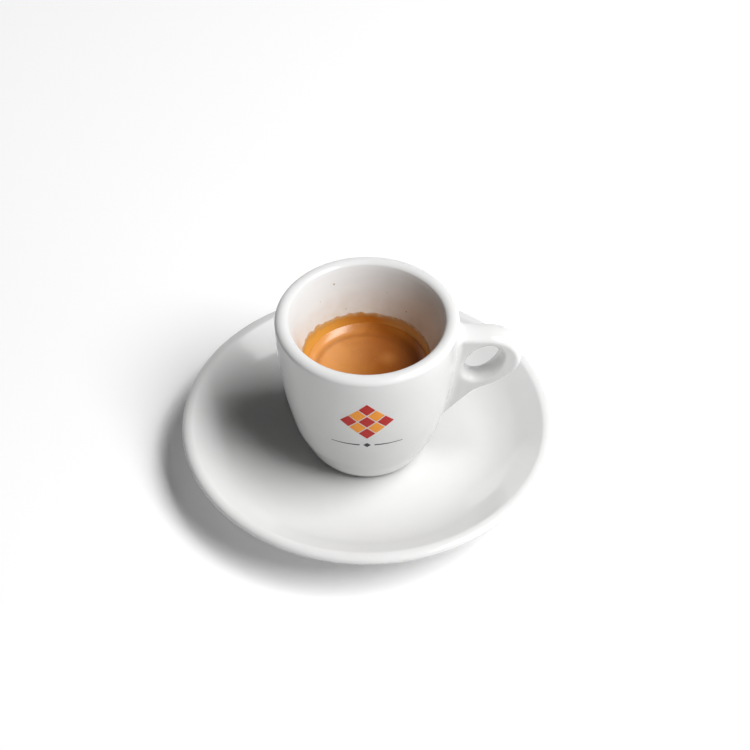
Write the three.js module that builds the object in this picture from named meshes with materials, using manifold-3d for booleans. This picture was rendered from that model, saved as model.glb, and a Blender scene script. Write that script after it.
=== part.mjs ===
// Espresso in a small porcelain cup on its saucer.
// Millimetres, +Z up, the floor at z = 0 and the common axis of cup and saucer at x = y = 0.
import * as THREE from "three";
import { mergeVertices } from "three/addons/utils/BufferGeometryUtils.js";
import Module from "manifold-3d";

// Steps round the axis and gap between pieces that touch
const ROUND_STEPS = 72;
const CONTACT_GAP = 0.3;

// Saucer
const SAUCER_RADIUS = 62.5;
const SAUCER_HEIGHT = 18;
const SAUCER_CENTRE_HEIGHT = 7.7;
const SAUCER_FLAT_RADIUS = 25;
const SAUCER_RIM_HALF_WIDTH = 2.4;
const SAUCER_RIM_HALF_HEIGHT = 1.6;
const SAUCER_RISE = [
  [34, 8.2],
  [42, 9.7],
  [49, 12.4],
  [54.5, 15.4],
];
const SAUCER_UNDERSIDE = [
  [56, 12.2],
  [49, 8.6],
  [42, 5.7],
  [36.5, 3.6],
];
const FOOT_RING_OUTER_RADIUS = 35;
const FOOT_RING_INNER_RADIUS = 30.5;
const FOOT_RING_ROUND = 0.8;
const SAUCER_RECESS_HEIGHT = 2.8;

// Cup
const CUP_BASE_HEIGHT = SAUCER_CENTRE_HEIGHT + CONTACT_GAP;
const CUP_TOP_HEIGHT = 65;
const CUP_LIP_RADIUS = 29.9;
const CUP_LIP_THICKNESS = 4.8;
const CUP_LIP_HALF_HEIGHT = 1.9;
const CUP_FOOT_RADIUS = 16.8;
const CUP_OUTSIDE = [
  [18.4, 8.6],
  [19.5, 9.9],
  [20.5, 11.6],
  [22.5, 16.2],
  [24.4, 20.9],
  [26.15, 28.4],
  [27.75, 37.1],
  [28.95, 47.6],
  [29.65, 57],
];
const CUP_INSIDE = [
  [24.6, 62],
  [23.9, 60],
  [22.5, 55],
  [21.35, 50],
  [20.7, 46.6],
  [20, 42.3],
  [19.1, 37.5],
  [17.9, 32.5],
  [16.1, 27.4],
  [13, 22.3],
  [8.5, 18.5],
  [4, 16.8],
];
const CUP_INSIDE_FLOOR_HEIGHT = 16.5;

// Handle, drawn in the plane through the axis as radius and height
const HANDLE_WIDTH = 9;
const HANDLE_TAIL_WIDTH = 6.4;
const HANDLE_EDGE_ROUND = 2;
const HANDLE_TOP_HEIGHT = 59.3;
const HANDLE_TAIL_HEIGHT = 23;
const HANDLE_ROOT = [
  [26.4, 56],
  [24.2, 46],
  [21.4, 35],
  [18.5, 25],
  [19.5, 18.5],
];
const HANDLE_OUTSIDE = [
  [24, 19.6],
  [26.9, 23.2],
  [30, 27.1],
  [33.3, 31.1],
  [36.5, 34.4],
  [41.6, 37.1],
  [46.4, 40.8],
  [49.8, 45],
  [50.5, 49.6],
  [49, 54.4],
  [45.6, 57.6],
  [41, 59],
  [36, 59.3],
  [29, 59.3],
];
const HOLE_RADIUS = 37.5;
const HOLE_HEIGHT = 47.4;
const HOLE_HALF_LENGTH = 7.6;
const HOLE_HALF_BREADTH = 4.5;
const HOLE_LEAN = 61;
const HOLE_FLARE = 2.2;

// Espresso
const DRINK_HEIGHT = 41.6;
const MENISCUS_HEIGHT = 2;
const MENISCUS_WIDTH = 4.2;

const wasm = await Module();
wasm.setup();

// Points from [radius, height] pairs
function points(pairs) {
  return pairs.map(([radius, height]) => new THREE.Vector2(radius, height));
}

// Points along a smooth curve through the given points
function smooth(pairs, steps) {
  return new THREE.SplineCurve(points(pairs)).getPoints(steps);
}

// Points along part of an ellipse, angles in degrees
function arc(radius, height, halfWidth, halfHeight, from, to, steps) {
  const made = [];
  for (let step = 0; step <= steps; step += 1) {
    const angle = THREE.MathUtils.degToRad(from + ((to - from) * step) / steps);
    made.push([radius + halfWidth * Math.cos(angle), height + halfHeight * Math.sin(angle)]);
  }
  return made;
}

// Turned body from a profile that starts and ends on the axis, bottom to top
function turned(profile) {
  const geometry = new THREE.LatheGeometry(profile, ROUND_STEPS);
  geometry.rotateX(Math.PI / 2);
  return geometry;
}

// Closed solid from a geometry
function solid(geometry) {
  const bare = geometry.clone();
  bare.deleteAttribute("normal");
  bare.deleteAttribute("uv");
  const merged = mergeVertices(bare, 1e-3);
  return new wasm.Manifold(
    new wasm.Mesh({
      numProp: 3,
      vertProperties: new Float32Array(merged.attributes.position.array),
      triVerts: new Uint32Array(merged.index.array),
    }),
  );
}

// Geometry from a closed solid
function geometryOf(made) {
  const mesh = made.getMesh();
  const geometry = new THREE.BufferGeometry();
  geometry.setAttribute("position", new THREE.BufferAttribute(mesh.vertProperties, 3));
  geometry.setIndex(new THREE.BufferAttribute(mesh.triVerts, 1));
  geometry.computeVertexNormals();
  return geometry;
}

// Named mesh with a glazed or wet finish
function piece(name, geometry, color, roughness) {
  const material = new THREE.MeshStandardMaterial({ color, roughness, metalness: 0 });
  const mesh = new THREE.Mesh(geometry, material);
  mesh.name = name;
  return mesh;
}

// Saucer: foot ring, underside, rounded rim and the gentle rise of the top
function saucerGeometry() {
  const ring = [
    [FOOT_RING_INNER_RADIUS - 1.2, SAUCER_RECESS_HEIGHT],
    [FOOT_RING_INNER_RADIUS, FOOT_RING_ROUND],
    [FOOT_RING_INNER_RADIUS + FOOT_RING_ROUND, 0],
    [FOOT_RING_OUTER_RADIUS - FOOT_RING_ROUND, 0],
    [FOOT_RING_OUTER_RADIUS, FOOT_RING_ROUND],
  ];
  const rim = arc(
    SAUCER_RADIUS - SAUCER_RIM_HALF_WIDTH,
    SAUCER_HEIGHT - SAUCER_RIM_HALF_HEIGHT,
    SAUCER_RIM_HALF_WIDTH,
    SAUCER_RIM_HALF_HEIGHT,
    -60,
    115,
    9,
  );
  const underside = smooth([...SAUCER_UNDERSIDE].reverse().concat([rim[0]]), 7);
  const top = smooth([
    rim[rim.length - 1],
    ...[...SAUCER_RISE].reverse(),
    [SAUCER_FLAT_RADIUS, SAUCER_CENTRE_HEIGHT],
  ], 10);
  const profile = [
    new THREE.Vector2(0, SAUCER_RECESS_HEIGHT),
    ...points(ring),
    ...underside,
    ...points(rim.slice(1, -1)),
    ...top,
    new THREE.Vector2(0, SAUCER_CENTRE_HEIGHT),
  ];
  return turned(profile);
}

// Inside of the cup from the lip down to the floor of the bowl
function insideCurve() {
  return new THREE.SplineCurve(points([
    [CUP_LIP_RADIUS - CUP_LIP_THICKNESS, CUP_TOP_HEIGHT - CUP_LIP_HALF_HEIGHT],
    ...CUP_INSIDE,
    [0, CUP_INSIDE_FLOOR_HEIGHT],
  ]));
}

// Cup without its handle
function bowlGeometry() {
  const lip = arc(
    CUP_LIP_RADIUS - CUP_LIP_THICKNESS / 2,
    CUP_TOP_HEIGHT - CUP_LIP_HALF_HEIGHT,
    CUP_LIP_THICKNESS / 2,
    CUP_LIP_HALF_HEIGHT,
    0,
    180,
    8,
  );
  const outside = smooth([[CUP_FOOT_RADIUS, CUP_BASE_HEIGHT], ...CUP_OUTSIDE, lip[0]], 18);
  const profile = [
    new THREE.Vector2(0, CUP_BASE_HEIGHT),
    ...outside,
    ...points(lip.slice(1, -1)),
    ...insideCurve().getPoints(14),
  ];
  return turned(profile);
}

// Outline moved inwards along its normals, for an outline drawn anticlockwise
function inset(outline, distance) {
  return outline.map((point, index) => {
    const before = outline[(index + outline.length - 1) % outline.length];
    const after = outline[(index + 1) % outline.length];
    const along = after.clone().sub(before).normalize();
    return new THREE.Vector2(point.x - along.y * distance, point.y + along.x * distance);
  });
}

// Solid across the handle's plane: one outline at the middle and another at both sides, rounded between
function layered(middle, side, width, layers) {
  const count = middle.length;
  const vertices = [];
  const triangles = [];
  for (let layer = 0; layer <= layers; layer += 1) {
    const turn = Math.PI * (layer / layers - 0.5);
    for (let index = 0; index < count; index += 1) {
      const point = side[index].clone().lerp(middle[index], Math.cos(turn));
      vertices.push(point.x, (Math.sin(turn) * width) / 2, point.y);
    }
  }
  for (let layer = 0; layer < layers; layer += 1) {
    for (let index = 0; index < count; index += 1) {
      const here = layer * count + index;
      const next = layer * count + ((index + 1) % count);
      triangles.push(here, here + count, next + count, here, next + count, next);
    }
  }
  const caps = THREE.ShapeUtils.triangulateShape(side, []);
  for (const [first, second, third] of caps) {
    const back = layers * count;
    triangles.push(first, second, third, back + first, back + third, back + second);
  }
  const geometry = new THREE.BufferGeometry();
  geometry.setAttribute("position", new THREE.Float32BufferAttribute(vertices, 3));
  geometry.setIndex(triangles);
  return geometry;
}

// Width narrowed from the top of the handle down to its tail
function narrowed(geometry) {
  const position = geometry.getAttribute("position");
  for (let index = 0; index < position.count; index += 1) {
    const share = (position.getZ(index) - HANDLE_TAIL_HEIGHT) / (HANDLE_TOP_HEIGHT - HANDLE_TAIL_HEIGHT);
    const level = THREE.MathUtils.clamp(share, 0, 1);
    const width = THREE.MathUtils.lerp(HANDLE_TAIL_WIDTH, HANDLE_WIDTH, level);
    position.setY(index, (position.getY(index) * width) / HANDLE_WIDTH);
  }
  return geometry;
}

// Ear-shaped handle with rounded edges and a flared finger hole
function handleSolid() {
  const outside = new THREE.SplineCurve(points(HANDLE_OUTSIDE)).getSpacedPoints(38);
  const outline = [...points(HANDLE_ROOT), ...outside];
  const ear = layered(outline, inset(outline, HANDLE_EDGE_ROUND), HANDLE_WIDTH, 8);
  const lean = THREE.MathUtils.degToRad(HOLE_LEAN);
  const centre = new THREE.Vector2(HOLE_RADIUS, HOLE_HEIGHT);
  const waist = [];
  for (let step = 0; step < 28; step += 1) {
    const angle = (2 * Math.PI * step) / 28;
    const point = new THREE.Vector2(HOLE_HALF_LENGTH * Math.cos(angle), HOLE_HALF_BREADTH * Math.sin(angle));
    waist.push(point.rotateAround(new THREE.Vector2(), lean).add(centre));
  }
  const plug = layered(waist, inset(waist, -HOLE_FLARE), HANDLE_WIDTH + 0.1, 8);
  return solid(narrowed(ear)).subtract(solid(plug));
}

// Drink: fills the bowl up to its level, with the edge drawn up along the wall
function drinkGeometry() {
  const curve = insideCurve();
  const edgeHeight = DRINK_HEIGHT + MENISCUS_HEIGHT;
  let edgeShare = 0;
  while (curve.getPoint(edgeShare).y > edgeHeight) edgeShare += 0.001;
  const wall = [];
  for (let step = 0; step <= 8; step += 1) {
    const share = THREE.MathUtils.lerp(1, edgeShare, step / 8);
    const point = curve.getPoint(share);
    const along = curve.getTangent(share);
    wall.push(new THREE.Vector2(point.x + along.y * CONTACT_GAP, point.y - along.x * CONTACT_GAP));
  }
  wall[0].x = 0;
  wall[8].y = edgeHeight;
  const top = [];
  for (let step = 1; step <= 4; step += 1) {
    const share = step / 4;
    const height = DRINK_HEIGHT + MENISCUS_HEIGHT * (1 - share) ** 2;
    top.push(new THREE.Vector2(wall[8].x - MENISCUS_WIDTH * share, height));
  }
  return turned([...wall, ...top, new THREE.Vector2(0, DRINK_HEIGHT)]);
}

const saucer = piece("saucer", saucerGeometry(), 0xf2f2f0, 0.12);
const cupSolid = solid(bowlGeometry()).add(handleSolid());
const cup = piece("cup", geometryOf(cupSolid), 0xf2f2f0, 0.12);
const espresso = piece("espresso", drinkGeometry(), 0xad6a2e, 0.3);

const group = new THREE.Group();
group.name = "espresso_cup_and_saucer";
group.add(saucer, cup, espresso);

export default group;
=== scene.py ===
"""Espresso with crema in a white porcelain cup on its saucer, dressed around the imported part.

Sizes are written in millimetres and become metres as the meshes are made. The floor is at height
zero, the common axis of cup and saucer is the vertical through the origin, and the handle points
along +X.
"""

from __future__ import annotations

import logging
import math
from dataclasses import dataclass
from enum import Enum
from itertools import pairwise
from typing import Any, Callable, Sequence

import bpy
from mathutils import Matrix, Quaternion, Vector


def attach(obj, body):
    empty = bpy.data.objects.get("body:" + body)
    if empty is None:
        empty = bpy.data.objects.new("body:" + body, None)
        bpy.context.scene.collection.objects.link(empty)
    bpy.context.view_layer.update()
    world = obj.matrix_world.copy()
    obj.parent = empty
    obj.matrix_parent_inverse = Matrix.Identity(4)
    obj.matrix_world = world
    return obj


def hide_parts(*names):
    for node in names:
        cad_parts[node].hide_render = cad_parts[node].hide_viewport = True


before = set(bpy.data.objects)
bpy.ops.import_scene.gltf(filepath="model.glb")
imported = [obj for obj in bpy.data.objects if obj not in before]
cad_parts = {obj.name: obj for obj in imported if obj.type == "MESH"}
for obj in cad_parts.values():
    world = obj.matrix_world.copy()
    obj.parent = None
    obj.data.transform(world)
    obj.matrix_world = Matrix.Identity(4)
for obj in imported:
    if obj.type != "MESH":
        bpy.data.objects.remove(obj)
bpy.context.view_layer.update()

Point = tuple[float, float]
Place = tuple[float, float, float]
Colour = tuple[float, float, float, float]
RadiusAt = Callable[[float], float]

MM = 0.001
WELD = 1e-6
BODY = "root"
LOG = logging.getLogger("espresso")


# Curves


def smooth(knots: Sequence[Point], per_span: int) -> list[Point]:
    """Points along an even Catmull-Rom curve through the knots.

    Args:
        knots: Radius and height of each knot, in millimetres.
        per_span: Points made for each span between two knots.

    Returns:
        The points, with the first and the last knot among them.
    """
    last = len(knots) - 1
    made: list[Point] = []
    for span in range(last):
        around = [knots[max(span - 1, 0)], knots[span], knots[span + 1], knots[min(span + 2, last)]]
        for step in range(per_span):
            made.append(spline_point(around, step / per_span))
    made.append(tuple(knots[last]))
    return made


def spline_point(around: Sequence[Point], share: float) -> Point:
    """One point of the span between the second and third of four knots.

    Args:
        around: The four knots around the span.
        share: How far along the span, from 0 to 1.

    Returns:
        Radius and height of the point.
    """
    before, start, end, after = (Vector(knot) for knot in around)
    leave = (end - before) / 2
    arrive = (after - start) / 2
    cubic = 2 * start - 2 * end + leave + arrive
    square = -3 * start + 3 * end - 2 * leave - arrive
    point = cubic * share**3 + square * share**2 + leave * share + start
    return (point.x, point.y)


def arc(centre: Point, half: Point, start: float, stop: float, steps: int) -> list[Point]:
    """Points along part of an ellipse.

    Args:
        centre: Radius and height of its middle.
        half: Half its width and half its height.
        start: First angle in degrees.
        stop: Last angle in degrees.
        steps: Number of steps between them.

    Returns:
        The points from the first angle to the last.
    """
    made = []
    for step in range(steps + 1):
        angle = math.radians(start + (stop - start) * step / steps)
        made.append((centre[0] + half[0] * math.cos(angle), centre[1] + half[1] * math.sin(angle)))
    return made


def radius_by_height(curve: Sequence[Point]) -> RadiusAt:
    """Turns a curve that climbs steadily into a function of height.

    Args:
        curve: Radius and height of its points, in either order.

    Returns:
        A function that gives the radius at a height.
    """
    climbing = sorted(curve, key=lambda point: point[1])

    def radius(height: float) -> float:
        """Reads the curve, held beyond its ends.

        Args:
            height: Height in millimetres.

        Returns:
            The radius there.
        """
        for low, high in pairwise(climbing):
            if height <= high[1]:
                rise = max(high[1] - low[1], 1e-9)
                share = min(max((height - low[1]) / rise, 0), 1)
                return low[0] + (high[0] - low[0]) * share
        return climbing[-1][0]

    return radius


def slope_at(wall: RadiusAt, height: float) -> float:
    """Growth of a wall's radius over the millimetre about a height."""
    return wall(height + 0.5) - wall(height - 0.5)


def evenly(outline: Sequence[Point], count: int) -> list[Point]:
    """Points spaced evenly along a closed outline.

    Args:
        outline: The outline's points, without the first one repeated.
        count: Number of points wanted.

    Returns:
        The new points, starting at the first one.
    """
    ring = [Vector(point) for point in outline]
    ring.append(ring[0])
    lengths = [(after - before).length for before, after in pairwise(ring)]
    stride = sum(lengths) / count
    made: list[Point] = []
    span = 0
    passed = 0.0
    for step in range(count):
        wanted = step * stride
        while passed + lengths[span] < wanted:
            passed += lengths[span]
            span += 1
        point = ring[span].lerp(ring[span + 1], (wanted - passed) / lengths[span])
        made.append((point.x, point.y))
    return made


def moved_in(outline: Sequence[Point], distance: float) -> list[Point]:
    """Moves a closed outline inwards along its normals.

    Args:
        outline: Points drawn anticlockwise.
        distance: How far inwards; a negative one goes outwards.

    Returns:
        The moved points.
    """
    made = []
    count = len(outline)
    for index, point in enumerate(outline):
        along = Vector(outline[(index + 1) % count]) - Vector(outline[index - 1])
        along.normalize()
        made.append((point[0] - along.y * distance, point[1] + along.x * distance))
    return made


# Modelling


class Bench:
    """Modelling steps that the pieces share, done with Blender's operators."""

    @staticmethod
    def clear() -> None:
        """Deselects every object."""
        bpy.ops.object.select_all(action="DESELECT")

    @staticmethod
    def only(piece: bpy.types.Object) -> None:
        """Makes a piece the one selected and active object.

        Args:
            piece: The object to work on.
        """
        Bench.clear()
        piece.select_set(True)
        bpy.context.view_layer.objects.active = piece

    @staticmethod
    def named(name: str) -> bpy.types.Object:
        """Names the object just added and its mesh.

        Args:
            name: Name for both.

        Returns:
            The object.
        """
        piece = bpy.context.object
        piece.name = name
        piece.data.name = name
        return piece

    @staticmethod
    def turned(name: str, profile: Sequence[Point], steps: int, closed: bool = False) -> bpy.types.Object:
        """Turns a profile once round the vertical axis.

        Args:
            name: Name of the piece.
            profile: Radius and height of each point, in millimetres.
            steps: Steps round the axis.
            closed: Whether the profile runs back to its first point.

        Returns:
            The turned piece, smooth, with its faces outwards.
        """
        Bench.clear()
        bpy.ops.mesh.primitive_plane_add(size=MM)
        piece = Bench.named(name)
        bpy.ops.object.mode_set(mode="EDIT")
        bpy.ops.mesh.select_mode(type="VERT")
        bpy.ops.mesh.select_all(action="SELECT")
        bpy.ops.mesh.merge(type="CENTER")
        bpy.ops.transform.translate(value=(profile[0][0] * MM, 0, profile[0][1] * MM))
        path = [*profile, profile[0]] if closed else profile
        for before, after in pairwise(path):
            stride = ((after[0] - before[0]) * MM, 0, (after[1] - before[1]) * MM)
            bpy.ops.mesh.extrude_region_move(TRANSFORM_OT_translate={"value": stride})
        bpy.ops.mesh.select_all(action="SELECT")
        bpy.ops.mesh.spin(steps=steps, angle=math.tau, center=(0, 0, 0), axis=(0, 0, 1))
        bpy.ops.mesh.select_all(action="SELECT")
        bpy.ops.mesh.remove_doubles(threshold=WELD)
        bpy.ops.mesh.normals_make_consistent(inside=False)
        bpy.ops.object.mode_set(mode="OBJECT")
        bpy.ops.object.shade_smooth()
        return piece

    @staticmethod
    def subdivided(piece: bpy.types.Object) -> None:
        """Rounds a piece with one applied level of subdivision.

        Args:
            piece: The piece.
        """
        Bench.only(piece)
        bpy.ops.object.modifier_add(type="SUBSURF")
        rounding = piece.modifiers[-1]
        rounding.levels = 1
        rounding.render_levels = 1
        bpy.ops.object.modifier_apply(modifier=rounding.name)

    @staticmethod
    def thickened(piece: bpy.types.Object, thickness: float) -> None:
        """Gives a sheet an applied thickness, half of it to each side.

        Args:
            piece: The sheet.
            thickness: Its thickness in millimetres.
        """
        Bench.only(piece)
        bpy.ops.object.modifier_add(type="SOLIDIFY")
        wall = piece.modifiers[-1]
        wall.thickness = thickness * MM
        wall.offset = 0
        bpy.ops.object.modifier_apply(modifier=wall.name)

    @staticmethod
    def united(piece: bpy.types.Object, other: bpy.types.Object) -> None:
        """Adds another solid to a piece and takes the other one away.

        Args:
            piece: The solid that stays.
            other: The solid that becomes part of it.
        """
        Bench.only(piece)
        bpy.ops.object.modifier_add(type="BOOLEAN")
        union = piece.modifiers[-1]
        union.operation = "UNION"
        union.solver = "MANIFOLD"
        union.object = other
        bpy.ops.object.modifier_apply(modifier=union.name)
        bpy.data.objects.remove(other)

    @staticmethod
    def evened(piece: bpy.types.Object) -> None:
        """Lets large faces set the shading, so that slivers at a joint don't show.

        Args:
            piece: The piece.
        """
        Bench.only(piece)
        bpy.ops.object.shade_smooth()
        bpy.ops.object.modifier_add(type="WEIGHTED_NORMAL")
        bpy.ops.object.modifier_apply(modifier=piece.modifiers[-1].name)

    @staticmethod
    def joined(pieces: Sequence[bpy.types.Object]) -> bpy.types.Object:
        """Joins several pieces into the first one.

        Args:
            pieces: The pieces to join.

        Returns:
            The first piece, which now holds them all.
        """
        Bench.only(pieces[0])
        for piece in pieces[1:]:
            piece.select_set(True)
        bpy.ops.object.join()
        return pieces[0]

    @staticmethod
    def reshaped(piece: bpy.types.Object, move: Callable[[Vector], Vector]) -> None:
        """Moves every vertex of a piece to a new place.

        Args:
            piece: The piece.
            move: Gives a vertex's new place from its old one, in metres.
        """
        for vertex in piece.data.vertices:
            vertex.co = move(vertex.co.copy())
        piece.data.update()

    @staticmethod
    def dressed(piece: bpy.types.Object, material: bpy.types.Material, slot: str) -> None:
        """Gives a piece its material and its place on the part.

        Args:
            piece: The finished piece.
            material: Its material.
            slot: The record's material slot that it belongs to; not used.
        """
        piece.data.materials.clear()
        piece.data.materials.append(material)
        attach(piece, BODY)
        LOG.info("%s: %d faces", piece.name, len(piece.data.polygons))


# Shader maths


class Value:
    """A shader socket that can stand in sums and products."""

    def __init__(self, shader: Shader, socket: bpy.types.NodeSocket) -> None:
        """Keeps the socket and the shader it belongs to."""
        self.shader = shader
        self.socket = socket

    def output(self, name: str) -> Value:
        """Another output of the same node."""
        return Value(self.shader, self.socket.node.outputs[name])

    def __add__(self, other: Value | float) -> Value:
        """Sum with another value."""
        return self.shader.maths("ADD", self, other)

    def __radd__(self, other: float) -> Value:
        """Sum with a number in front."""
        return self.shader.maths("ADD", other, self)

    def __sub__(self, other: Value | float) -> Value:
        """Difference from another value."""
        return self.shader.maths("SUBTRACT", self, other)

    def __rsub__(self, other: float) -> Value:
        """Difference from a number in front."""
        return self.shader.maths("SUBTRACT", other, self)

    def __mul__(self, other: Value | float) -> Value:
        """Product with another value."""
        return self.shader.maths("MULTIPLY", self, other)

    def __rmul__(self, other: float) -> Value:
        """Product with a number in front."""
        return self.shader.maths("MULTIPLY", other, self)

    def __abs__(self) -> Value:
        """Size of this value without its sign."""
        return self.shader.maths("ABSOLUTE", self)

    def ramp(self, low: float, high: float) -> Value:
        """Goes smoothly from 0 to 1 as this value goes from one bound to the other.

        Args:
            low: Where the ramp leaves 0.
            high: Where it reaches 1.

        Returns:
            The ramp's value.
        """
        settings = {"interpolation_type": "SMOOTHSTEP", "clamp": True}
        inputs = {"Value": self, "From Min": low, "From Max": high}
        return self.shader.node("ShaderNodeMapRange", settings, inputs)

    def ramp_mm(self, bounds: Point) -> Value:
        """The same ramp for a length, between two bounds in millimetres."""
        return self.ramp(bounds[0] * MM, bounds[1] * MM)


class Shader:
    """A material whose nodes are written as expressions."""

    def __init__(self, name: str) -> None:
        """Starts a material with no nodes.

        Args:
            name: Name of the material.
        """
        self.material = bpy.data.materials.new(name)
        self.material.use_nodes = True
        self.tree = self.material.node_tree
        self.tree.nodes.clear()
        self.place = self.node("ShaderNodeTexCoord", output="Object")

    def node(
        self,
        kind: str,
        settings: dict[str, Any] | None = None,
        inputs: dict[str | int, Any] | None = None,
        output: str | int = 0,
    ) -> Value:
        """Adds a node.

        Args:
            kind: Type of the node.
            settings: Its own settings, set before its sockets.
            inputs: Values or links of its sockets, by name, identifier or number.
            output: The output that is wanted, by name or number.

        Returns:
            That output as a value.
        """
        made = self.tree.nodes.new(kind)
        for key, setting in (settings or {}).items():
            setattr(made, key, setting)
        for key, value in (inputs or {}).items():
            socket = made.inputs[key] if isinstance(key, int) else self.socket(made, key)
            if isinstance(value, Value):
                self.tree.links.new(value.socket, socket)
            else:
                socket.default_value = value
        return Value(self, made.outputs[output])

    @staticmethod
    def socket(made: bpy.types.Node, key: str) -> bpy.types.NodeSocket:
        """Finds an input by its identifier or else by its name.

        Args:
            made: The node.
            key: Identifier or name.

        Returns:
            The input.
        """
        for socket in made.inputs:
            if socket.identifier == key:
                return socket
        return made.inputs[key]

    def maths(self, operation: str, first: Value | float, second: Value | float = 0.0) -> Value:
        """Adds a Math node.

        Args:
            operation: What it does.
            first: First value.
            second: Second value, where there is one.

        Returns:
            Its result.
        """
        return self.node("ShaderNodeMath", {"operation": operation}, {0: first, 1: second})

    def mix(self, factor: Value | float, first: Value | Colour, second: Value | Colour) -> Value:
        """Mixes two colours.

        Args:
            factor: Share of the second colour.
            first: First colour.
            second: Second colour.

        Returns:
            The mixed colour.
        """
        inputs = {"Factor_Float": factor, "A_Color": first, "B_Color": second}
        return self.node("ShaderNodeMix", {"data_type": "RGBA"}, inputs, 2)

    def noise(self, scale: float, detail: float = 2.0, distortion: float = 0.0) -> Value:
        """Cloudy noise over the piece.

        Args:
            scale: Clouds to the metre.
            detail: Finer octaves on top.
            distortion: How far the clouds are stirred.

        Returns:
            A value about one half.
        """
        inputs = {"Vector": self.place, "Scale": scale, "Detail": detail, "Distortion": distortion}
        return self.node("ShaderNodeTexNoise", {"noise_dimensions": "3D"}, inputs)

    def level_place(self) -> tuple[Value, Value]:
        """Places along X and Y in metres."""
        parts = self.node("ShaderNodeSeparateXYZ", None, {0: self.place})
        return parts.output("X"), parts.output("Y")

    def height(self) -> Value:
        """Height in metres."""
        return self.node("ShaderNodeSeparateXYZ", None, {0: self.place}, "Z")

    def distance_from(self, centre: Point = (0, 0)) -> Value:
        """Distance from an upright line.

        Args:
            centre: Where the line stands, in millimetres.

        Returns:
            The distance in metres.
        """
        across, deep = self.level_place()
        across = across - centre[0] * MM
        deep = deep - centre[1] * MM
        return self.maths("SQRT", across * across + deep * deep)

    def bump(self, height: Value, distance: float) -> Value:
        """Normal of a surface raised by a height.

        Args:
            height: The height, from 0 to 1.
            distance: What a height of 1 stands for, in millimetres.

        Returns:
            The normal.
        """
        inputs = {"Strength": 1.0, "Distance": distance * MM, "Height": height}
        return self.node("ShaderNodeBump", None, inputs)

    def surface(self, inputs: dict[str, Any]) -> bpy.types.Material:
        """Ends the material in one Principled surface.

        Args:
            inputs: Values or links of the surface's sockets.

        Returns:
            The material.
        """
        made = self.node("ShaderNodeBsdfPrincipled", None, inputs)
        end = self.tree.nodes.new("ShaderNodeOutputMaterial")
        self.tree.links.new(made.socket, end.inputs["Surface"])
        return self.material


# Finishes


@dataclass(frozen=True)
class GlazeFinish:
    """White gloss glaze, a little uneven in tone, gloss and level."""

    name: str
    light: Colour = (0.735, 0.735, 0.73, 1)
    shade: Colour = (0.705, 0.705, 0.7, 1)
    gloss: float = 0.09
    gloss_spread: float = 0.06
    specular: float = 0.17
    cloud_scale: float = 90
    ripple_scale: float = 140
    ripple_height: float = 0.04

    def colour(self, shader: Shader, cloud: Value) -> Value:
        """White of the glaze, cloudy."""
        return shader.mix(cloud, self.shade, self.light)

    def material(self) -> bpy.types.Material:
        """Makes the material.

        Returns:
            The glaze.
        """
        shader = Shader(self.name)
        cloud = shader.noise(self.cloud_scale, 3)
        ripple = shader.noise(self.ripple_scale, 1)
        return shader.surface({
            "Base Color": self.colour(shader, cloud),
            "Roughness": cloud * self.gloss_spread + self.gloss,
            "IOR": 1.5,
            "Specular IOR Level": self.specular,
            "Normal": shader.bump(ripple, self.ripple_height),
        })


@dataclass(frozen=True)
class CupGlazeFinish(GlazeFinish):
    """Glaze of the cup, faintly warmer in streaks on the wall inside above the drink."""

    # A warm tint laid on the inner wall above the drink, in streaks, fading upwards.
    warm_tint: Colour = (0.56, 0.43, 0.27, 1)
    warm_tint_share: float = 0.4
    warm_tint_heights: Point = (46.0, 60.0)
    inside_radii: Point = (25.4, 25.9)
    bowl_heights: Point = (38.0, 40.0)
    streak_scale: float = 260
    streak_bounds: Point = (0.3, 0.75)
    streak_share: float = 0.6

    def colour(self, shader: Shader, cloud: Value) -> Value:
        """White of the glaze, warmer in streaks on the wall inside, fading upwards.

        Args:
            shader: The material being made.
            cloud: Its cloudy noise.

        Returns:
            The colour.
        """
        height = shader.height()
        inside = 1 - shader.distance_from().ramp_mm(self.inside_radii)
        above = height.ramp_mm(self.bowl_heights)
        fading = 1 - height.ramp_mm(self.warm_tint_heights)
        streaks = shader.noise(self.streak_scale, 3).ramp(*self.streak_bounds)
        uneven = streaks * self.streak_share + (1 - self.streak_share)
        share = inside * above * fading * uneven * self.warm_tint_share
        return shader.mix(share, super().colour(shader, cloud), self.warm_tint)


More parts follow.
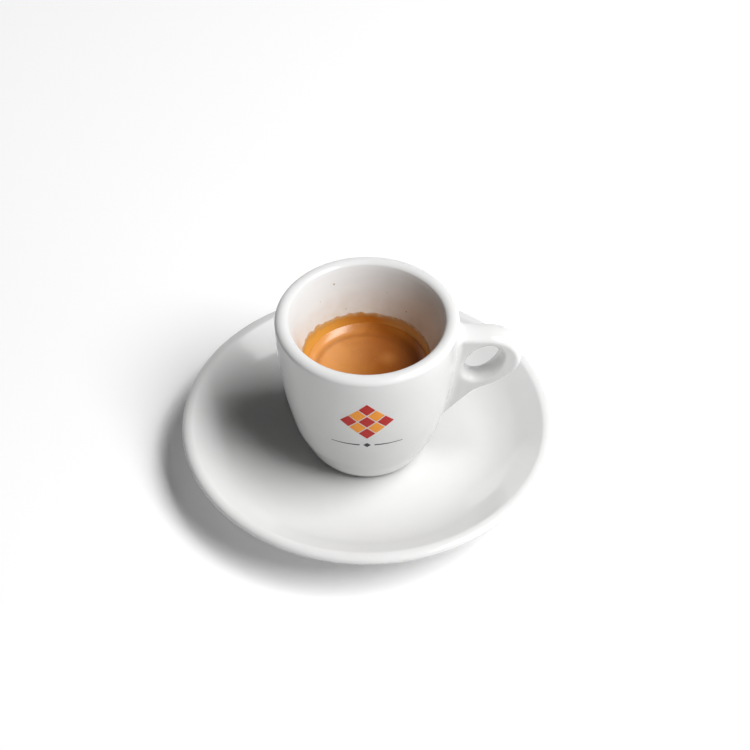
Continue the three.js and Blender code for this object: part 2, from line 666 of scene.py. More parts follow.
@dataclass(frozen=True)
class CremaFinish:
    """Fine wet foam, paler on the side away from the handle; the darkening towards the handle is painted
    shade, and the rising edge on the handle side carries a painted highlight.
    """

    name: str = "crema"
    # The pale colour is the lit side; the next colour is the painted shade towards the handle.
    pale: Colour = (0.6, 0.265, 0.07, 1)
    shaded_brown: Colour = (0.265, 0.074, 0.008, 1)
    ring: Colour = (0.2, 0.055, 0.006, 1)
    painted_shade_span: Point = (-15.0, 6.0)
    drift: float = 5.0
    ring_centre: Point = (-0.6, -0.8)
    ring_radius: float = 16.3
    ring_width: float = 1.7
    # Paler colour that paints a highlight on the rising edge towards the handle.
    edge: Colour = (0.64, 0.235, 0.035, 1)
    painted_highlight_radii: Point = (16.8, 19.4)
    painted_highlight_side: Point = (4.0, 16.0)
    patch_centre: Point = (6.9, 4.6)
    patch_size: float = 4.5
    patch_share: float = 0.25
    ring_share: float = 0.4
    painted_highlight_share: float = 0.75
    grain_share: float = 0.12
    streak_scale: float = 110
    streak_stir: float = 1.6
    grain_scale: float = 900
    gloss: float = 0.16
    gloss_spread: float = 0.16
    relief: float = 0.04
    relief_grain: float = 0.6

    def material(self) -> bpy.types.Material:
        """Makes the material.

        Returns:
            The crema.
        """
        shader = Shader(self.name)
        streaks = shader.noise(self.streak_scale, 4, self.streak_stir)
        grain = shader.noise(self.grain_scale, 2)
        across, _ = shader.level_place()
        along = across + (streaks - 0.5) * (self.drift * MM)
        # Painted shade: the colour darkens across the cup towards the handle, as under the cup wall's
        # shadow; the patch lightens it in one spot.
        painted_shade = along.ramp_mm(self.painted_shade_span)
        patch = 1 - shader.distance_from(self.patch_centre).ramp_mm((0, self.patch_size))
        body = shader.mix(painted_shade * (1 - patch * self.patch_share), self.pale, self.shaded_brown)
        from_ring = abs(shader.distance_from(self.ring_centre) - self.ring_radius * MM)
        line = 1 - from_ring.ramp_mm((0, self.ring_width))
        body = shader.mix(line * self.ring_share, body, self.ring)
        # Painted highlight: the rising edge on the handle side is made paler in colour.
        rising = shader.distance_from().ramp_mm(self.painted_highlight_radii) * across.ramp_mm(self.painted_highlight_side)
        body = shader.mix(rising * self.painted_highlight_share, body, self.edge)
        relief = grain * self.relief_grain + streaks * (1 - self.relief_grain)
        return shader.surface({
            "Base Color": shader.mix(grain * self.grain_share, body, self.ring),
            "Roughness": self.gloss + grain * self.gloss_spread,
            "IOR": 1.42,
            "Normal": shader.bump(relief, self.relief),
        })


@dataclass(frozen=True)
class FilmFinish:
    """Coffee left on the wall, thin at its upper edge, with painted light and shade across the cup: a lit
    gold on one side, darker towards the handle as painted shade, and paler and clearer beside the handle as
    painted fill light.
    """

    name: str = "coffee_film"
    # Gold is the lit side, the next colour the painted shade, and pale the painted fill light beside the
    # handle.
    lit_golden: Colour = (0.64, 0.3, 0.05, 1)
    shaded_brown: Colour = (0.39, 0.122, 0.014, 1)
    pale: Colour = (0.8, 0.42, 0.12, 1)
    thin: Colour = (0.66, 0.36, 0.08, 1)
    painted_shade_span: Point = (-16.0, 2.0)
    painted_fill_span: Point = (2.0, 16.0)
    rise: str = "rise"
    cloud_scale: float = 420
    cloud_drift: float = 0.5
    thin_bounds: Point = (0.5, 1.05)
    thin_share: float = 0.7
    thin_clear: float = 0.55
    painted_fill_clear: float = 0.2
    gloss: float = 0.16
    gloss_spread: float = 0.16

    def material(self) -> bpy.types.Material:
        """Makes the material.

        Returns:
            The film.
        """
        shader = Shader(self.name)
        height = shader.node("ShaderNodeAttribute", {"attribute_name": self.rise}, output="Fac")
        cloud = shader.noise(self.cloud_scale, 3)
        across, _ = shader.level_place()
        # Painted shade: darker across the cup towards the handle.
        painted_shade = across.ramp_mm(self.painted_shade_span)
        body = shader.mix(painted_shade, self.lit_golden, self.shaded_brown)
        # Painted fill light: paler and clearer again beside the handle.
        painted_fill_light = across.ramp_mm(self.painted_fill_span)
        body = shader.mix(painted_fill_light, body, self.pale)
        thinning = (height + (cloud - 0.5) * self.cloud_drift).ramp(*self.thin_bounds)
        return shader.surface({
            "Base Color": shader.mix(thinning * self.thin_share, body, self.thin),
            "Roughness": self.gloss + cloud * self.gloss_spread,
            "IOR": 1.35,
            "Alpha": 1 - thinning * self.thin_clear - painted_fill_light * self.painted_fill_clear,
        })


@dataclass(frozen=True)
class DropFinish:
    """Dried coffee drop."""

    name: str = "coffee_drop"
    middle: Colour = (0.34, 0.24, 0.13, 1)
    rim: Colour = (0.46, 0.37, 0.25, 1)
    cloud_scale: float = 3000
    gloss: float = 0.35
    gloss_spread: float = 0.2

    def material(self) -> bpy.types.Material:
        """Makes the material.

        Returns:
            The drop.
        """
        shader = Shader(self.name)
        cloud = shader.noise(self.cloud_scale, 1)
        return shader.surface({
            "Base Color": shader.mix(cloud, self.middle, self.rim),
            "Roughness": self.gloss + cloud * self.gloss_spread,
        })


class Ink(Enum):
    """Colours of the printed ornament."""

    BRICK = (0.43, 0.022, 0.018, 1)
    AMBER = (0.78, 0.29, 0.035, 1)
    SLATE = (0.05, 0.05, 0.052, 1)


@dataclass(frozen=True)
class InkFinish:
    """Printed colour under the glaze."""

    ink: Ink
    cloud_scale: float = 1500
    lightened: float = 1.25
    lifted: float = 0.01
    gloss: float = 0.08
    gloss_spread: float = 0.06
    specular: float = 0.17

    def material(self) -> bpy.types.Material:
        """Makes the material.

        Returns:
            The print.
        """
        shader = Shader("print_" + self.ink.name.lower())
        cloud = shader.noise(self.cloud_scale, 2)
        full = self.ink.value
        pale = tuple(min(part * self.lightened + self.lifted, 1) for part in full)
        return shader.surface({
            "Base Color": shader.mix(cloud, full, pale),
            "Roughness": self.gloss + cloud * self.gloss_spread,
            "IOR": 1.5,
            "Specular IOR Level": self.specular,
        })


@dataclass(frozen=True)
class FloorFinish:
    """Plain white table top."""

    name: str = "white_floor"
    colour: Colour = (0.88, 0.88, 0.88, 1)
    glow: float = 0.1

    def material(self) -> bpy.types.Material:
        """Makes the material.

        Returns:
            The floor.
        """
        shader = Shader(self.name)
        return shader.surface({
            "Base Color": self.colour,
            "Roughness": 0.7,
            "Emission Color": self.colour,
            "Emission Strength": self.glow,
        })


# Pieces


@dataclass
class Saucer:
    """Round coupe saucer on a plain foot ring."""

    radius: float = 62.5
    height: float = 18.0
    centre_height: float = 7.7
    flat_radius: float = 25.0
    rim_half: Point = (2.4, 1.6)
    rise: tuple[Point, ...] = ((34, 8.2), (42, 9.7), (49, 12.4), (54.5, 15.4))
    underside: tuple[Point, ...] = ((36.5, 3.6), (42, 5.7), (49, 8.6), (56, 12.2))
    ring_radii: Point = (30.5, 35.0)
    ring_round: float = 0.8
    recess_height: float = 2.8
    recess_rings: tuple[float, ...] = (0, 10, 20)
    recess_edge: tuple[Point, ...] = ((27.6, 2.8), (29.2, 2.5), (30.2, 1.7))
    ring_top: Point = (35.2, 1.7)
    rim_turn: Point = (-60, 115)
    flat_rings: tuple[float, ...] = (18, 9, 0)
    steps: int = 96

    def profile(self) -> list[Point]:
        """Draws the section from the middle of the underside to the middle of the top.

        Returns:
            Radius and height of its points.
        """
        inner, outer = self.ring_radii
        soft = (self.ring_round, self.ring_round)
        recess = [(radius, self.recess_height) for radius in self.recess_rings]
        recess += smooth(self.recess_edge, 3)
        ring = arc((inner + soft[0], soft[1]), soft, 180, 270, 5)
        ring += arc((outer - soft[0], soft[1]), soft, 270, 360, 5)
        middle = (self.radius - self.rim_half[0], self.height - self.rim_half[1])
        rim = arc(middle, self.rim_half, *self.rim_turn, 18)
        under = smooth([self.ring_top, *self.underside, rim[0]], 4)
        top = smooth([rim[-1], *reversed(self.rise), (self.flat_radius, self.centre_height)], 4)
        flat = [(radius, self.centre_height) for radius in self.flat_rings]
        return recess + ring + under[:-1] + rim + top[1:] + flat

    def build(self) -> bpy.types.Object:
        """Makes and dresses the saucer.

        Returns:
            The saucer.
        """
        piece = Bench.turned("saucer_body", self.profile(), self.steps)
        Bench.subdivided(piece)
        Bench.dressed(piece, GlazeFinish("saucer_glaze").material(), "saucer_porcelain")
        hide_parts("saucer")
        return piece


@dataclass
class Bowl:
    """Tapered cup with a thick rounded lip, without its handle."""

    base_height: float = 8.0
    top_height: float = 65.0
    lip_radius: float = 29.9
    lip_thickness: float = 4.8
    lip_half_height: float = 1.9
    foot_radius: float = 16.8
    foot_rings: tuple[float, ...] = (0, 8, 14)
    outside: tuple[Point, ...] = (
        (18.4, 8.6), (19.5, 9.9), (20.5, 11.6), (22.5, 16.2), (24.4, 20.9),
        (26.15, 28.4), (27.75, 37.1), (28.95, 47.6), (29.65, 57),
    )
    inside: tuple[Point, ...] = (
        (24.95, 63), (24.45, 61.7), (23.8, 59.8), (22.45, 55), (21.35, 50), (20.7, 46.6), (20, 42.3),
        (19.1, 37.5), (17.9, 32.5), (16.1, 27.4), (13, 22.3), (8.5, 18.5), (4, 16.8),
    )
    floor_height: float = 16.5
    lip_turn: float = 145.0
    steps: int = 96

    @property
    def lip_height(self) -> float:
        """Height at which the lip's rounding begins."""
        return self.top_height - self.lip_half_height

    def outer_curve(self) -> list[Point]:
        """Outside from the foot up to the lip."""
        foot = (self.foot_radius, self.base_height)
        return smooth([foot, *self.outside, (self.lip_radius, self.lip_height)], 4)

    def lip(self) -> list[Point]:
        """Rounding of the lip from the outside over to the slope of the inside."""
        half = (self.lip_thickness / 2, self.lip_half_height)
        return arc((self.lip_radius - half[0], self.lip_height), half, 0, self.lip_turn, 18)

    def inner_curve(self) -> list[Point]:
        """Inside from the lip down to the middle of the floor."""
        return smooth([self.lip()[-1], *self.inside, (0, self.floor_height)], 5)

    def outer_wall(self) -> RadiusAt:
        """Radius of the outside by height."""
        return radius_by_height(self.outer_curve())

    def inner_wall(self) -> RadiusAt:
        """Radius of the inside by height."""
        return radius_by_height(self.inner_curve())

    def profile(self) -> list[Point]:
        """Draws the section from the middle of the foot to the middle of the floor.

        Returns:
            Radius and height of its points.
        """
        foot = [(radius, self.base_height) for radius in self.foot_rings]
        return foot + self.outer_curve()[:-1] + self.lip()[:-1] + self.inner_curve()

    def build(self) -> bpy.types.Object:
        """Makes the bowl.

        Returns:
            The bowl, not yet dressed.
        """
        piece = Bench.turned("cup_body", self.profile(), self.steps)
        Bench.subdivided(piece)
        return piece


@dataclass
class Handle:
    """Ear-shaped handle with a leaning finger hole, drawn in the plane through the axis."""

    width: float = 9.0
    tail_width: float = 6.4
    edge_round: float = 2.0
    top_height: float = 59.3
    tail_height: float = 23.0
    root: tuple[Point, ...] = (
        (27.2, 58.9), (25.9, 57.9), (25.2, 56.4), (25, 54), (24, 46),
        (21.4, 35), (18.6, 25), (18.5, 21.2), (19.2, 19.5), (21, 18.7),
    )
    outside: tuple[Point, ...] = (
        (24, 19.6), (26.9, 23.2), (30, 27.1), (33.3, 31.1), (36.5, 34.4), (41.6, 37.1), (46.4, 40.8),
        (49.8, 45), (50.5, 49.6), (49, 54.4), (45.6, 57.6), (41, 59), (36, 59.3), (31.5, 59.3), (28.8, 59.3),
    )
    hole_centre: Point = (37.5, 47.4)
    hole_half: Point = (7.6, 4.5)
    hole_lean: float = 61.0
    hole_flare: float = 2.2
    fillet: float = 2.0
    tail_fillet: float = 1.4
    around: int = 160
    bulge_steps: int = 10
    face_steps: int = 7

    def level(self, height: float) -> float:
        """How high a point is on the handle, from 0 at the tail to 1 at the top."""
        return min(max((height - self.tail_height) / (self.top_height - self.tail_height), 0), 1)

    def half_width(self, height: float) -> float:
        """Half the handle's width at a height."""
        return (self.tail_width + (self.width - self.tail_width) * self.level(height)) / 2

    def waist(self, outline: Sequence[Point]) -> list[Point]:
        """Finds the hole's narrowest ring, one point towards each point of the outline.

        Args:
            outline: The handle's outer outline.

        Returns:
            The ring's points.
        """
        lean = math.radians(self.hole_lean)
        made = []
        for point in outline:
            towards = math.atan2(point[1] - self.hole_centre[1], point[0] - self.hole_centre[0])
            long = math.cos(towards - lean) / self.hole_half[0]
            broad = math.sin(towards - lean) / self.hole_half[1]
            reach = 1 / math.hypot(long, broad)
            made.append((
                self.hole_centre[0] + reach * math.cos(towards),
                self.hole_centre[1] + reach * math.sin(towards),
            ))
        return made

    def bulge(self, side: Point, middle: Point, rising: bool) -> list[Place]:
        """Rounds an edge from one face of the handle over to the other.

        Args:
            side: Where the edge meets the faces.
            middle: Where it is halfway across.
            rising: Whether it runs from the near face to the far one.

        Returns:
            Places across the handle.
        """
        made = []
        for step in range(self.bulge_steps + 1):
            turn = math.pi * (step / self.bulge_steps - 0.5) * (1 if rising else -1)
            point = Vector(side).lerp(Vector(middle), math.cos(turn))
            made.append((point.x, math.sin(turn) * self.half_width(point.y), point.y))
        return made

    def face(self, start: Point, stop: Point, far: bool) -> list[Place]:
        """Crosses one flat face between the outer edge and the hole.

        Args:
            start: Where it begins.
            stop: Where it ends.
            far: Whether it is the face away from the photographed side.

        Returns:
            Places on the face, without its ends.
        """
        made = []
        for step in range(1, self.face_steps):
            point = Vector(start).lerp(Vector(stop), step / self.face_steps)
            made.append((point.x, self.half_width(point.y) * (1 if far else -1), point.y))
        return made

    def places(self) -> list[Place]:
        """Lists the places of all sections, one after another round the hole.

        Returns:
            Places in millimetres.
        """
        drawn = [*self.root, *smooth(self.outside, 6)]
        outline = evenly(drawn, self.around)
        inner = moved_in(outline, self.edge_round)
        waist = self.waist(outline)
        flared = moved_in(waist, -self.hole_flare)
        made: list[Place] = []
        for outer, side, narrow, wide in zip(outline, inner, waist, flared):
            made += self.bulge(side, outer, True)
            made += self.face(side, wide, True)
            made += self.bulge(wide, narrow, False)
            made += self.face(wide, side, False)
        return made

    def build(self, wall: RadiusAt) -> bpy.types.Object:
        """Makes the handle from a torus whose sections take the ear's shape.

        Args:
            wall: Radius of the cup's outside at a height.

        Returns:
            The handle, with its joint to the wall rounded, not yet dressed.
        """
        section = 2 * (self.bulge_steps + 1) + 2 * (self.face_steps - 1)
        Bench.clear()
        bpy.ops.mesh.primitive_torus_add(major_segments=self.around, minor_segments=section)
        piece = Bench.named("handle")
        for vertex, place in zip(piece.data.vertices, self.places()):
            vertex.co = Vector(place) * MM
        bpy.ops.object.mode_set(mode="EDIT")
        bpy.ops.mesh.select_all(action="SELECT")
        bpy.ops.mesh.normals_make_consistent(inside=False)
        bpy.ops.object.mode_set(mode="OBJECT")
        bpy.ops.object.shade_smooth()
        Bench.subdivided(piece)
        self.flare(piece, wall)
        return piece

    def flare(self, piece: bpy.types.Object, wall: RadiusAt) -> None:
        """Widens the handle where it meets the wall, as a rounded joint.

        Args:
            piece: The handle.
            wall: Radius of the cup's outside at a height.
        """
        moves = []
        for vertex in piece.data.vertices:
            place = vertex.co / MM
            out = math.hypot(place.x, place.y)
            slope = slope_at(wall, place.z)
            away = Vector((place.x / out, place.y / out, -slope)).normalized()
            gap = (out - wall(place.z)) * math.cos(math.atan(slope))
            size = self.tail_fillet + (self.fillet - self.tail_fillet) * self.level(place.z)
            left = min(max(size - gap, 0), size)
            push = size - math.sqrt(max(size**2 - left**2, 0))
            along = vertex.normal - vertex.normal.dot(away) * away
            moves.append(along * push * MM)
        for vertex, move in zip(piece.data.vertices, moves):
            vertex.co += move
        piece.data.update()


@dataclass
class Cup:
    """Cup and handle in one piece of porcelain."""

    bowl: Bowl
    handle: Handle
    joint_reach: float = 1.6
    joint_breadth: float = 9.0
    joint_heights: Point = (17.0, 62.5)
    sliver: float = 0.12
    joint_passes: int = 6

    def soften_joint(self, piece: bpy.types.Object, wall: RadiusAt) -> None:
        """Merges slivers where handle and wall meet, evens the surface and closes pinched edges.

        Args:
            piece: The cup with its handle.
            wall: Radius of the cup's outside at a height.
        """
        low, high = self.joint_heights
        Bench.only(piece)
        bpy.ops.object.mode_set(mode="EDIT")
        bpy.ops.mesh.select_mode(type="VERT")
        bpy.ops.mesh.select_all(action="DESELECT")
        bpy.ops.object.mode_set(mode="OBJECT")
        for vertex in piece.data.vertices:
            place = vertex.co / MM
            beside = place.x > 0 and abs(place.y) < self.joint_breadth and low < place.z < high
            gap = math.hypot(place.x, place.y) - wall(place.z)
            vertex.select = beside and abs(gap) < self.joint_reach
        bpy.ops.object.mode_set(mode="EDIT")
        bpy.ops.mesh.remove_doubles(threshold=self.sliver * MM)
        bpy.ops.mesh.vertices_smooth(factor=0.5, repeat=self.joint_passes)
        bpy.ops.mesh.select_mode(type="EDGE")
        bpy.ops.mesh.select_all(action="DESELECT")
        pinched = {"use_wire": False, "use_boundary": False, "use_non_contiguous": False, "use_verts": False}
        bpy.ops.mesh.select_non_manifold(**pinched)
        bpy.ops.mesh.merge(type="COLLAPSE")
        bpy.ops.object.mode_set(mode="OBJECT")

    def build(self) -> bpy.types.Object:
        """Makes and dresses the cup.

        Returns:
            The cup.
        """
        piece = self.bowl.build()
        wall = self.bowl.outer_wall()
        Bench.united(piece, self.handle.build(wall))
        self.soften_joint(piece, wall)
        Bench.evened(piece)
        Bench.dressed(piece, CupGlazeFinish("cup_glaze").material(), "cup_porcelain")
        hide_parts("cup")
        return piece


@dataclass
class Espresso:
    """The drink, its crema level in the middle and drawn up at the wall."""

    bowl: Bowl
    level: float = 41.6
    rise: float = 2.0
    rise_width: float = 4.2
    gap: float = 0.3
    groove_radius: float = 15.9
    groove_depth: float = 0.06
    groove_width: float = 0.7
    floor_round: float = 0.25
    wall_steps: int = 15
    wall_bias: float = 1.6
    rise_steps: int = 12
    crema_steps: int = 24
    steps: int = 96

    def profile(self) -> list[Point]:
        """Draws the section from the bottom of the drink to the middle of the crema.

        Returns:
            Radius and height of its points.
        """
        wall = self.bowl.inner_wall()
        top = self.level + self.rise
        bottom = self.bowl.floor_height + self.gap
        under = [(0, bottom)]
        lowest = bottom + self.floor_round
        for step in range(1, self.wall_steps):
            height = lowest + (top - lowest) * (step / self.wall_steps) ** self.wall_bias
            under.append((max(wall(height) - self.gap, 1), height))
        edge = wall(top) - self.gap
        surface = []
        for step in range(self.rise_steps + 1):
            share = step / self.rise_steps
            surface.append((edge - self.rise_width * share, self.level + self.rise * (1 - share) ** 2))
        crema = []
        for step in range(1, self.crema_steps + 1):
            radius = (edge - self.rise_width) * (1 - step / self.crema_steps)
            aside = (radius - self.groove_radius) / self.groove_width
            dip = self.groove_depth * math.exp(-(aside**2))
            crema.append((radius, self.level - dip))
        return under + surface + crema

    def build(self) -> bpy.types.Object:
        """Makes and dresses the drink.

        Returns:
            The drink.
        """
        piece = Bench.turned("crema_and_drink", self.profile(), self.steps)
        Bench.subdivided(piece)
        Bench.dressed(piece, CremaFinish().material(), "crema")
        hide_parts("espresso")
        return piece


@dataclass
class Film:
    """Coffee left on the wall above the drink, with an uneven upper edge."""

    bowl: Bowl
    low: float = 42.6
    high: float = 47.2
    thick: float = 0.5
    thin: float = 0.06
    sunk: float = 0.15
    band_radii: Point = (20.0, 21.0)
    lobed_turn: float = 150.0
    climb_turn: float = 188.0
    climb: float = 2.6
    swells: tuple[Place, ...] = ((0.3, 3, 0.7), (0.18, 7, 2.1))
    lobe: Place = (0.55, 9.5, 0.4)
    ripple: Place = (0.25, 31, 0)
    lobe_drop: float = 0.2
    fine: tuple[Place, ...] = ((0.1, 23, 1), (0.07, 57, 2))
    fine_least: float = 0.25
    tip_slope: float = 6.0
    tip_least: float = 0.15
    rows: int = 14
    steps: int = 360

    def edge(self, angle: float) -> float:
        """Height of the film's upper edge.

        Args:
            angle: Angle round the axis from the handle, in radians.

        Returns:
            The height in millimetres.
        """
        lobed = max(math.cos(angle - math.radians(self.lobed_turn)), 0)
        climb = self.climb * max(math.cos(angle - math.radians(self.climb_turn)), 0) ** 4
        swell = sum(self.wave(angle, row) for row in self.swells)
        lobes = abs(self.wave(angle, self.lobe)) + self.wave(angle, self.ripple) - self.lobe_drop
        fine = sum(self.wave(angle, row) for row in self.fine)
        fine *= self.fine_least + (1 - self.fine_least) * lobed
        return self.high + climb + swell + lobed * lobes + fine

    @staticmethod
    def wave(angle: float, row: Place) -> float:
        """Height of a wave round the cup, from its size, number and shift."""
        size, number, shift = row
        return size * math.sin(number * angle + shift)

    def build(self) -> bpy.types.Object:
        """Makes and dresses the film.

        Returns:
            The film.
        """
        wall = self.bowl.inner_wall()
        front = [step / self.rows for step in range(self.rows + 1)]
        inner, outer = self.band_radii
        loop = [(inner + share, self.low + share) for share in reversed(front)]
        loop += [(outer + share, self.low + share) for share in front]
        piece = Bench.turned("coffee_film", loop, self.steps, closed=True)

        def settle(place: Vector) -> Vector:
            """Lays a vertex of the straight band against the wall.

            Args:
                place: The vertex on the band, in metres.

            Returns:
                Its place on the wall.
            """
            angle = math.atan2(place.y, place.x)
            share = place.z / MM - self.low
            behind = math.hypot(place.x, place.y) / MM - share > (inner + outer) / 2
            height = self.low + share * (self.edge(angle) - self.low)
            cover = self.thin + (self.thick - self.thin) * (1 - share) ** 3
            cover *= min(1, self.tip_slope * (1 - share) + self.tip_least)
            radius = wall(height) + (self.sunk if behind else -cover)
            return Vector((radius * math.cos(angle), radius * math.sin(angle), height)) * MM

        shares = [vertex.co.z / MM - self.low for vertex in piece.data.vertices]
        Bench.reshaped(piece, settle)
        rise = piece.data.attributes.new(FilmFinish.rise, "FLOAT", "POINT")
        rise.data.foreach_set("value", shares)
        Bench.dressed(piece, FilmFinish().material(), "crema")
        return piece


@dataclass
class Drops:
    """Dried coffee drops on the inner wall."""

    bowl: Bowl
    places: tuple[Place, ...] = (
        (117.5, 59.6, 0.3), (53.0, 50.8, 0.3), (109.5, 49.4, 0.2), (73.0, 55.4, 0.16), (133.0, 55.9, 0.16),
    )
    flattening: Place = (0.3, 1, 1.2)

    def build(self) -> bpy.types.Object:
        """Makes and dresses the drops.

        Returns:
            The drops as one piece.
        """
        wall = self.bowl.inner_wall()
        made = []
        for number, (turn, height, size) in enumerate(self.places):
            angle = math.radians(turn)
            out = Vector((math.cos(angle), math.sin(angle), 0))
            Bench.clear()
            bpy.ops.mesh.primitive_uv_sphere_add(segments=16, ring_count=8, radius=size * MM)
            drop = Bench.named(f"drop_{number}")
            bpy.ops.object.mode_set(mode="EDIT")
            bpy.ops.mesh.select_all(action="SELECT")
            bpy.ops.transform.resize(value=self.flattening)
            bpy.ops.object.mode_set(mode="OBJECT")
            bpy.ops.object.shade_smooth()
            side = Vector((-out.y, out.x, 0))
            slope = slope_at(wall, height)
            upward = (Vector((0, 0, 1)) + out * slope).normalized()
            inward = side.cross(upward)
            middle = out * wall(height) * MM + Vector((0, 0, height * MM))

            def lay(place: Vector) -> Vector:
                """Lays the drop's flat side on the wall."""
                return middle + inward * place.x + side * place.y + upward * place.z

            Bench.reshaped(drop, lay)
            made.append(drop)
        piece = Bench.joined(made)
        piece.name = "coffee_drops"
        Bench.dressed(piece, DropFinish().material(), "crema")
        return piece


@dataclass
class Ornament:
    """Harlequin of nine small lozenges over a thin rule, printed on the front of the cup."""

    bowl: Bowl
    height: float = 46.0
    size: float = 2.7
    spacing: float = 3.0
    rule_height: float = 33.6
    rule_length: float = 9.5
    rule_width: float = 0.55
    rule_gap: float = 2.4
    rule_mark: float = 1.2
    rule_tip: float = 0.25
    thickness: float = 0.08
    proud: float = 0.005
    lozenge_cuts: int = 7
    rule_cuts: int = 15
    crease: float = 40.0

    def lozenge(self, name: str, across: float, height: float, size: float) -> bpy.types.Object:
        """Makes a flat lozenge.

        Args:
            name: Name of the sheet.
            across: Its place along the wall from the front.
            height: Height of its middle.
            size: Half its diagonal.

        Returns:
            The sheet, with X along the wall and Y up it.
        """
        Bench.clear()
        bpy.ops.mesh.primitive_plane_add(size=size * math.sqrt(2) * MM)
        piece = Bench.named(name)
        bpy.ops.object.mode_set(mode="EDIT")
        bpy.ops.mesh.select_all(action="SELECT")
        bpy.ops.transform.rotate(value=math.pi / 4, orient_axis="Z", center_override=(0, 0, 0))
        bpy.ops.transform.translate(value=(across * MM, height * MM, 0))
        bpy.ops.mesh.subdivide(number_cuts=self.lozenge_cuts)
        bpy.ops.object.mode_set(mode="OBJECT")
        return piece

    def line(self, name: str, across: float) -> bpy.types.Object:
        """Makes one half of the rule, tapered to its outer end.

        Args:
            name: Name of the sheet.
            across: Place of its middle along the wall, from the front.

        Returns:
            The sheet.
        """
        Bench.clear()
        bpy.ops.mesh.primitive_plane_add(size=MM)
        piece = Bench.named(name)
        bpy.ops.object.mode_set(mode="EDIT")
        bpy.ops.mesh.select_all(action="SELECT")
        bpy.ops.transform.resize(value=(self.rule_length, self.rule_width, 1))
        bpy.ops.transform.translate(value=(across * MM, self.rule_height * MM, 0))
        bpy.ops.mesh.subdivide(number_cuts=self.rule_cuts)
        bpy.ops.object.mode_set(mode="OBJECT")
        far = abs(across) + self.rule_length / 2
        middle = self.rule_height * MM

        def taper(place: Vector) -> Vector:
            """Narrows the line towards its outer end.

            Args:
                place: A vertex of the line, in metres.

            Returns:
                Its new place.
            """
            left = max((far - abs(place.x) / MM) / self.rule_length, 0)
            narrowing = self.rule_tip + (1 - self.rule_tip) * left
            place.y = middle + (place.y - middle) * narrowing
            return place

        Bench.reshaped(piece, taper)
        return piece

    def printed(self, name: str, sheets: Sequence[bpy.types.Object], ink: Ink) -> bpy.types.Object:
        """Lays flat sheets of one colour on the cup's wall.

        Args:
            name: Name of the piece.
            sheets: The flat sheets.
            ink: Their colour.

        Returns:
            The printed piece.
        """
        wall = self.bowl.outer_wall()
        piece = Bench.joined(sheets)
        piece.name = name
        piece.data.name = name

        def wrap(place: Vector) -> Vector:
            """Bends a vertex round the front of the cup.

            Args:
                place: A vertex of a flat sheet, in metres.

            Returns:
                Its place on the wall.
            """
            height = place.y / MM
            angle = place.x / MM / wall(height) - math.pi / 2
            radius = wall(height) + self.proud
            return Vector((radius * math.cos(angle), radius * math.sin(angle), height)) * MM

        Bench.reshaped(piece, wrap)
        Bench.thickened(piece, self.thickness)
        Bench.only(piece)
        bpy.ops.object.shade_smooth_by_angle(angle=math.radians(self.crease))
        Bench.dressed(piece, InkFinish(ink).material(), "cup_porcelain")
        return piece

    def build(self) -> list[bpy.types.Object]:
        """Makes and dresses the ornament.

        Returns:
            Its three colours, each one piece.
        """
        inks: dict[Ink, list[bpy.types.Object]] = {Ink.BRICK: [], Ink.AMBER: []}
        for row in (-1, 0, 1):
            for column in (-1, 0, 1):
                across = (column - row) * self.spacing
                height = self.height + (column + row) * self.spacing
                ink = Ink.AMBER if (row + column) % 2 else Ink.BRICK
                inks[ink].append(self.lozenge("lozenge", across, height, self.size))
        away = self.rule_gap + self.rule_length / 2
        rules = [self.line("rule_left", -away), self.line("rule_right", away)]
        rules.append(self.lozenge("rule_middle", 0, self.rule_height, self.rule_mark))
        return [
            self.printed("ornament_brick", inks[Ink.BRICK], Ink.BRICK),
            self.printed("ornament_amber", inks[Ink.AMBER], Ink.AMBER),
            self.printed("ornament_rule", rules, Ink.SLATE),
        ]


# Studio


@dataclass(frozen=True)
class Softbox:
    """Flat soft light that faces the cup."""

    name: str
    turn: float
    lift: float
    roll: float
    length: float
    width: float
    power: float
    distance: float = 2.0
    aim: Place = (0, 0, 0.03)

    def hang(self) -> None:
        """Hangs the light, its length rolled up from the level."""
        turn = math.radians(self.turn)
        lift = math.radians(self.lift)
        away = Vector((math.cos(turn) * math.cos(lift), math.sin(turn) * math.cos(lift), math.sin(lift)))
        bpy.ops.object.light_add(type="AREA", location=Vector(self.aim) + away * self.distance)
        lamp = bpy.context.object
        lamp.name = self.name
        rolled = Quaternion((0, 0, 1), math.radians(self.roll))
        lamp.rotation_euler = (away.to_track_quat("Z", "Y") @ rolled).to_euler()
        lamp.visible_camera = False
        lamp.data.shape = "RECTANGLE"
        lamp.data.size = self.length
        lamp.data.size_y = self.width
        lamp.data.energy = self.power


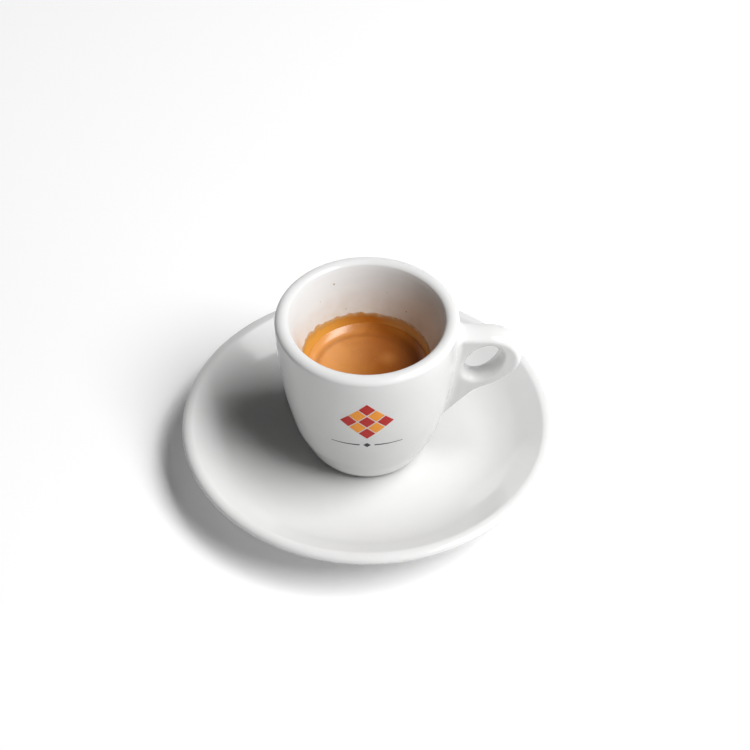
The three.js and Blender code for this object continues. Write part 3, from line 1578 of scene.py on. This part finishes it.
@dataclass
class Studio:
    """White floor, a softbox high on the right, two weak cards, and the camera."""

    floor_size: float = 8.0
    lights: tuple[Softbox, ...] = (
        Softbox("softbox", -19.3, 56.0, 35.0, 1.6, 0.73, 57.0),
        Softbox("card_right", -26.0, 14.0, 0.0, 1.2, 0.5, 3.5),
        Softbox("card_back", 105.0, 14.0, 0.0, 1.2, 0.5, 3.5),
    )
    fill: float = 0.03
    backdrop: float = 1.0
    camera_place: Place = (2.56, -483.6, 528.3)
    camera_tilt: float = 45.379
    lens: float = 100.0
    sensor: float = 36.0

    def floor(self) -> None:
        """Lays the floor."""
        Bench.clear()
        bpy.ops.mesh.primitive_plane_add(size=self.floor_size)
        ground = Bench.named("floor")
        ground.data.materials.append(FloorFinish().material())

    def surround(self) -> None:
        """Sets the dim room light and the white seen beyond the floor."""
        world = bpy.data.worlds.new("room")
        bpy.context.scene.world = world
        world.use_nodes = True
        tree = world.node_tree
        tree.nodes.clear()
        seen = tree.nodes.new("ShaderNodeLightPath")
        level = tree.nodes.new("ShaderNodeMapRange")
        tree.links.new(seen.outputs["Is Camera Ray"], level.inputs["Value"])
        level.inputs["To Min"].default_value = self.fill
        level.inputs["To Max"].default_value = self.backdrop
        light = tree.nodes.new("ShaderNodeBackground")
        light.inputs["Color"].default_value = (1, 1, 1, 1)
        tree.links.new(level.outputs[0], light.inputs["Strength"])
        end = tree.nodes.new("ShaderNodeOutputWorld")
        tree.links.new(light.outputs[0], end.inputs["Surface"])

    def camera(self) -> None:
        """Sets the camera at the photograph's view."""
        tilt = math.radians(90 - self.camera_tilt)
        bpy.ops.object.camera_add(location=Vector(self.camera_place) * MM, rotation=(tilt, 0, 0))
        view = bpy.context.object
        view.name = "camera"
        view.data.lens = self.lens
        view.data.sensor_width = self.sensor
        bpy.context.scene.camera = view

    def build(self) -> None:
        """Sets up floor, lights, camera and the plain colour response."""
        self.floor()
        for light in self.lights:
            light.hang()
        self.surround()
        self.camera()
        bpy.context.scene.view_settings.view_transform = "Standard"


def main() -> None:
    """Builds the pieces in order."""
    logging.basicConfig(level=logging.INFO, format="%(name)s: %(message)s")
    bowl = Bowl()
    Saucer().build()
    Cup(bowl, Handle()).build()
    Espresso(bowl).build()
    Film(bowl).build()
    Drops(bowl).build()
    Ornament(bowl).build()
    Studio().build()
    LOG.info("sizes written")


if __name__ == "__main__":
    main()
